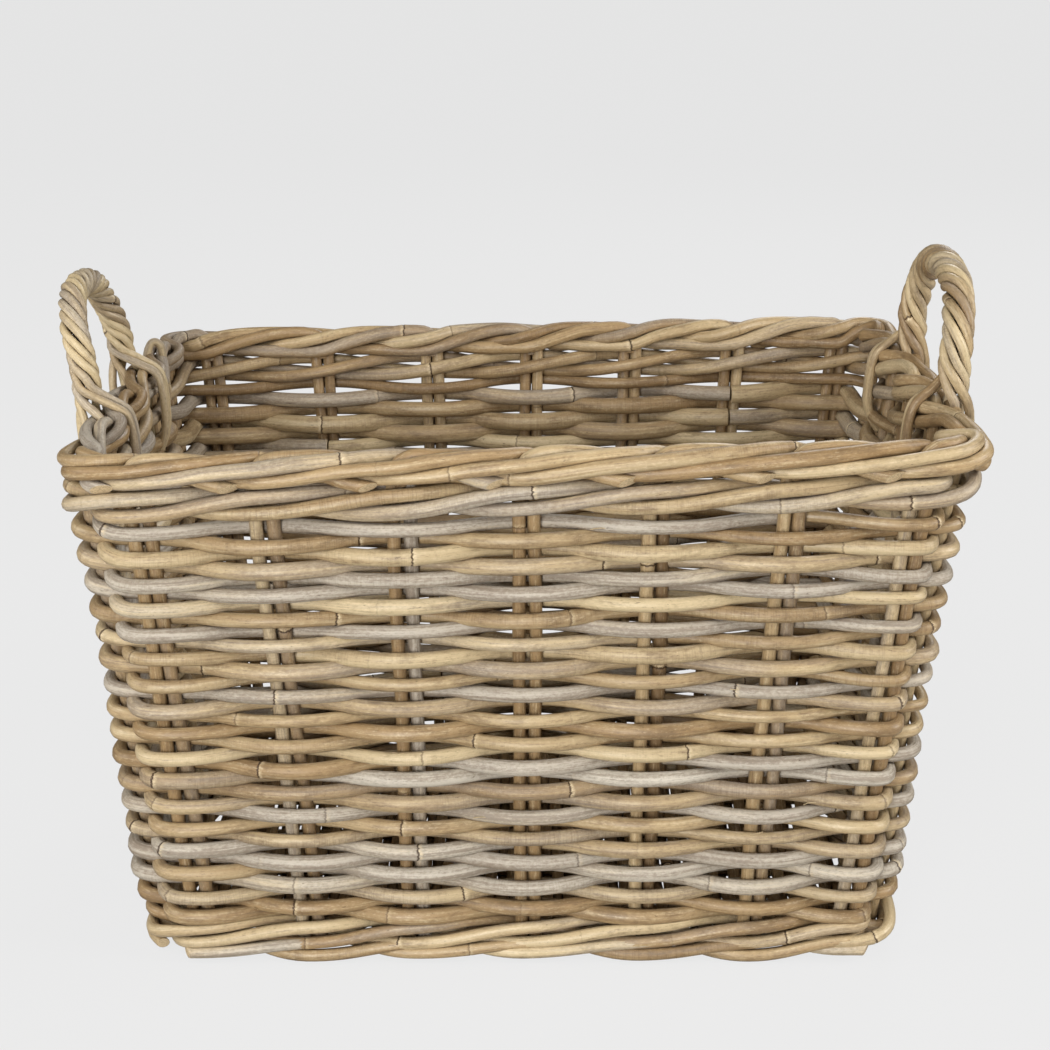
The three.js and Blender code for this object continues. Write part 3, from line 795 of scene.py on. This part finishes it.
rods = []
for count, (rod, first, last, before, after, turned) in enumerate(FOOT_RODS):
    chance = np.random.default_rng(60 + count)
    passes = []
    for index in range(first, last + 1):
        stage = (index - rod) % 3
        z, out, slope = FOOT_STAGES[stage]
        uneven = FOOT_UNEVEN * chance.uniform() ** 3
        z += uneven if stage == 0 else 0.0
        z += FOOT_CORNER_LIFT if at_corner(index) else 0.0
        passes.append((beside(index, z, 0.0, out), heading(index) + np.array((0, 0, slope))))
    if before:
        passes.insert(0, (passes[0][0] - heading(first) * before, heading(first)))
    if after:
        way = heading(last) + heading(last + 1) * 2 * turned / after
        passes.append((passes[-1][0] + heading(last) * after + heading(last + 1) * turned, way))
    wash = chance.choice((0.3, 0.4, 0.5))
    path = woven_path(passes, FOOT_CORNER_PULL)
    rods.append(lay_cane(path, FOOT_CANE, chance, wash, FOOT_CUTS, warm=0.05))
bundle("foot_rods", rods, "foot_hoop", base_finish)

# Handles: thin canes twisted together over an arch at each end. Their ends part over the border, go down both
# faces of the wall and are pushed into the weave, so the handle stands up by itself.
HANDLE_CANES = 6
HANDLE_ROUNDNESS = 2.4
HANDLE_LOW = 0.388
HANDLE_STEPS = 72
# Side, diameter, turns over the arch, first angle, rise, half span, middle along Y, shift out, lean out, how
# far the ends reach inside the wall, outside it and along it, and how much browner and limier the canes are
HANDLES = (
    ("right", 0.0066, 3.0, 0.3, 0.0615, 0.0795, 0.0, 0.0050, 0.0075, 0.0225, 0.0185, 0.0078, 0.0, 0.1),
    ("left", 0.0060, 3.2, 0.9, 0.0617, 0.0630, 0.0020, 0.0140, 0.0165, 0.0135, 0.0235, 0.0105, -0.25, 0.0),
)
HANDLE_WASHES = (0.15, 0.25, 0.35, 0.45)
# How loosely the strands lie together, where 0.5 is touching, and how much they spread along the rope
STRAND_ROOM = 0.59
STRAND_BREATH = 0.03
# How far the fan of strand ends is turned round the rope
FAN_TURN = 1.4
# How a strand leaves the rope: how far it turns on, how much of its way it has gone if it ends inside the
# wall or outside it, and the height. Then how it goes into the weave: share of its way out and height
PARTING = ((0.0, 0.0, 0.0, HANDLE_LOW), (0.7, 0.38, 0.10, 0.379), (1.3, 0.86, 0.50, 0.3705))
INTO_WEAVE = ((1.0, 0.3590), (1.0, 0.3440), (0.95, 0.3300), (0.75, 0.3190), (0.45, 0.3100))
# One strand of the left handle hooks over the border behind the far foot: along Y, millimetres out, height
HOOK = (
    (0.078, 6.0, 0.372), (0.095, 6.5, 0.366), (0.108, 5.6, 0.3680), (0.112, 4.4, 0.3755),
    (0.114, 1.8, 0.3804), (0.115, -2.0, 0.3804), (0.116, -4.8, 0.3755), (0.116, -6.0, 0.365),
    (0.115, -7.5, 0.352), (0.115, -9.0, 0.340),
)


def handle_line(rise, half_span, lean):
    """Middle of the handle rope, evenly cut, from the near foot over the top to the far foot."""
    power = 2 / HANDLE_ROUNDNESS
    angle = np.linspace(0, math.pi, 1500)
    over = np.abs(np.cos(angle)) ** power * np.sign(np.cos(angle))
    up = np.sin(angle) ** power
    line = np.stack((lean * up, -half_span * over, HANDLE_LOW + rise * up), -1)
    length = distance_along(line)
    even = np.linspace(0, length[-1], HANDLE_STEPS + 1)
    return np.stack([np.interp(even, length, line[:, k]) for k in range(3)], 1)


def fan(angles, inside, outside):
    """How far out from the wall each strand of a foot ends: two inside, the others side by side outside."""
    ends = np.empty(len(angles))
    outer = np.linspace(0.1, 1, len(angles) - 2) * outside
    ends[np.argsort(np.cos(angles + FAN_TURN))] = [-inside, -inside, *outer]
    return ends


def strand_foot(angle, y, shift, radius, end, sideways):
    """How one strand leaves the rope: it turns on a little, parts over the border and goes into the wall."""
    along = sideways * math.sin(angle + FAN_TURN)
    bends = []
    for turn, inner, outer, z in PARTING:
        parted = inner if end < 0 else outer
        rope_out = shift + radius * math.cos(angle + turn)
        rope_along = radius * math.sin(angle + turn)
        bends.append((rope_out + (end - rope_out) * parted, rope_along + (along - rope_along) * parted, z))
    bends += [(share * end, along, z) for share, z in INTO_WEAVE]
    rim = wall_half(RIM_MIDDLE)[0]
    return np.array([(out + wall_half(z)[0] - rim, y + step, z) for out, step, z in bends])


handle_finish = cane_finish("handle_cane", 0.08, 0.02)
for (name, diameter, turns, first_angle, rise, half_span, middle, shift, lean,
     inside, outside, sideways, warm, lime) in HANDLES:
    mirror = 1 if name == "right" else -1
    line = handle_line(rise, half_span, lean) + (shift, middle, 0)
    ahead = np.gradient(line, axis=0)
    ahead[[0, -1]] = ((0, 0, 1), (0, 0, -1))
    ahead /= np.linalg.norm(ahead, axis=1)[:, None]
    outward = np.array((1.0, 0, 0)) - ahead * ahead[:, :1]
    outward /= np.linalg.norm(outward, axis=1)[:, None]
    in_plane = np.cross(ahead, outward)
    radius = STRAND_ROOM * diameter / math.sin(math.pi / HANDLE_CANES)
    first_angles = 2 * math.pi * np.arange(HANDLE_CANES) / HANDLE_CANES + first_angle
    last_angles = 2 * math.pi * turns - first_angles
    near_ends, far_ends = fan(first_angles, inside, outside), fan(last_angles, inside, outside)
    strands = [[], [], [], []]
    for strand in range(HANDLE_CANES):
        chance = np.random.default_rng(500 + 20 * mirror + strand)
        turn = np.linspace(0, turns, HANDLE_STEPS + 1)
        angle = 2 * math.pi * (strand / HANDLE_CANES - turn) + first_angle
        widen = radius * (1 + STRAND_BREATH * np.sin(turn * 5 + strand))
        rope = line + outward * (widen * np.cos(angle))[:, None] + in_plane * (widen * np.sin(angle))[:, None]
        near = strand_foot(angle[0], line[0][1], shift, radius, near_ends[strand], sideways)
        far = strand_foot(-angle[-1], line[-1][1], shift, radius, far_ends[strand], sideways)
        path = spline(np.concatenate((near[::-1], rope[3:-3:3], far)), 8)
        path[:, 0] += wall_half(RIM_MIDDLE)[0]
        path[:, :2] *= mirror
        wash = chance.choice(HANDLE_WASHES) + lime
        cane = lay_cane(path, diameter * chance.uniform(0.96, 1.04), chance, wash, warm=warm)
        strands[strand % 4].append(cane)
    if name == "left":
        path = spline([(-RIM_X - out / 1000, y, z) for y, out, z in HOOK])
        strands[3].append(lay_cane(path, diameter, chance, 0.5, warm=warm))
    for k, canes in enumerate(strands):
        node = f"handle_{name}_{k + 1:02d}"
        bundle(f"handle_{name}_canes_{k + 1:02d}", canes, node, handle_finish)

# Studio: a pale seamless floor, an even pale sky and five large soft lamps. The floor and the sky glow for
# the camera alone in the photograph's light grey, and the basket's soft shadow still falls on the floor.
BACKGROUND = colour(0xF5, 0xF5, 0xF5)
PAPER = colour(0xA4, 0xA4, 0xA4)
PAPER_GLOW = 0.85
PAPER_HALF = 30.0
SKY_GLOW, SKY_LIGHT = 0.80, 0.06
LAMP_SIZE = 1.2
# Name, place, the point it faces and its power
LAMPS = (
    ("lamp_front", (-0.7, -2.9, 0.75), (0, 0, 0.2), 69),
    ("lamp_right", (2.1, -0.6, 1.3), (0, 0, 0.32), 40),
    ("lamp_left", (-2.1, -0.6, 1.3), (0, 0, 0.32), 22),
    ("lamp_top", (-0.3, -2.0, 2.2), (0, 0, 0.2), 18),
    ("lamp_back", (0.9, 2.8, 2.3), (0, 0, 0.2), 34),
)

floor_mesh = bpy.data.meshes.new("studio_floor")
corners = [(x * PAPER_HALF, y * PAPER_HALF, 0) for x, y in ((-1, -1), (1, -1), (1, 1), (-1, 1))]
floor_mesh.from_pydata(corners, [], [(0, 1, 2, 3)])
studio_floor = bpy.data.objects.new("studio_floor", floor_mesh)
bpy.context.scene.collection.objects.link(studio_floor)
paper = Finish("studio_paper")
matt = paper.node("BsdfDiffuse", {}, {"Color": PAPER})
glow = paper.node("Emission", {}, {"Color": BACKGROUND, "Strength": 1.0})
seen = paper.node("LightPath", {}, {}, "Is Camera Ray")
mixed = paper.node("MixShader", {}, {0: seen * PAPER_GLOW, 1: matt, 2: glow})
floor_mesh.materials.append(paper.close(mixed))

world = bpy.data.worlds.new("studio_sky")
bpy.context.scene.world = world
world.use_nodes = True
sky = world.node_tree.nodes["Background"]
sky.inputs["Color"].default_value = BACKGROUND
sky_seen = world.node_tree.nodes.new("ShaderNodeLightPath")
sky_level = world.node_tree.nodes.new("ShaderNodeMath")
sky_level.operation = "MULTIPLY_ADD"
sky_level.inputs[1].default_value = SKY_GLOW
sky_level.inputs[2].default_value = SKY_LIGHT
world.node_tree.links.new(sky_seen.outputs["Is Camera Ray"], sky_level.inputs[0])
world.node_tree.links.new(sky_level.outputs[0], sky.inputs["Strength"])

for name, place, aim, power in LAMPS:
    light = bpy.data.lights.new(name, "AREA")
    light.shape = "SQUARE"
    light.size = LAMP_SIZE
    light.energy = power
    lamp = bpy.data.objects.new(name, light)
    bpy.context.scene.collection.objects.link(lamp)
    lamp.location = place
    lamp.visible_camera = False
    gaze = np.array(aim) - np.array(place)
    tilt = math.atan2(math.hypot(gaze[0], gaze[1]), -gaze[2])
    lamp.rotation_euler = (tilt, 0, math.atan2(-gaze[0], gaze[1]))

# Camera: where the photograph was taken from, in front and a little above. Its tilt is in degrees down, and
# its focal length is known in the photograph's pixels.
CAMERA_PLACE = (0, -1.456, 0.696)
CAMERA_TILT = 16.6
FOCAL_PIXELS, PHOTO_PIXELS = 2066, 1050
SENSOR = 36
camera = bpy.data.objects.new("camera", bpy.data.cameras.new("camera"))
bpy.context.scene.collection.objects.link(camera)
camera.location = CAMERA_PLACE
camera.rotation_euler = (math.radians(90 - CAMERA_TILT), 0, 0)
camera.data.sensor_width = SENSOR
camera.data.lens = SENSOR * FOCAL_PIXELS / PHOTO_PIXELS
bpy.context.scene.camera = camera
bpy.context.scene.view_settings.view_transform = "Standard"
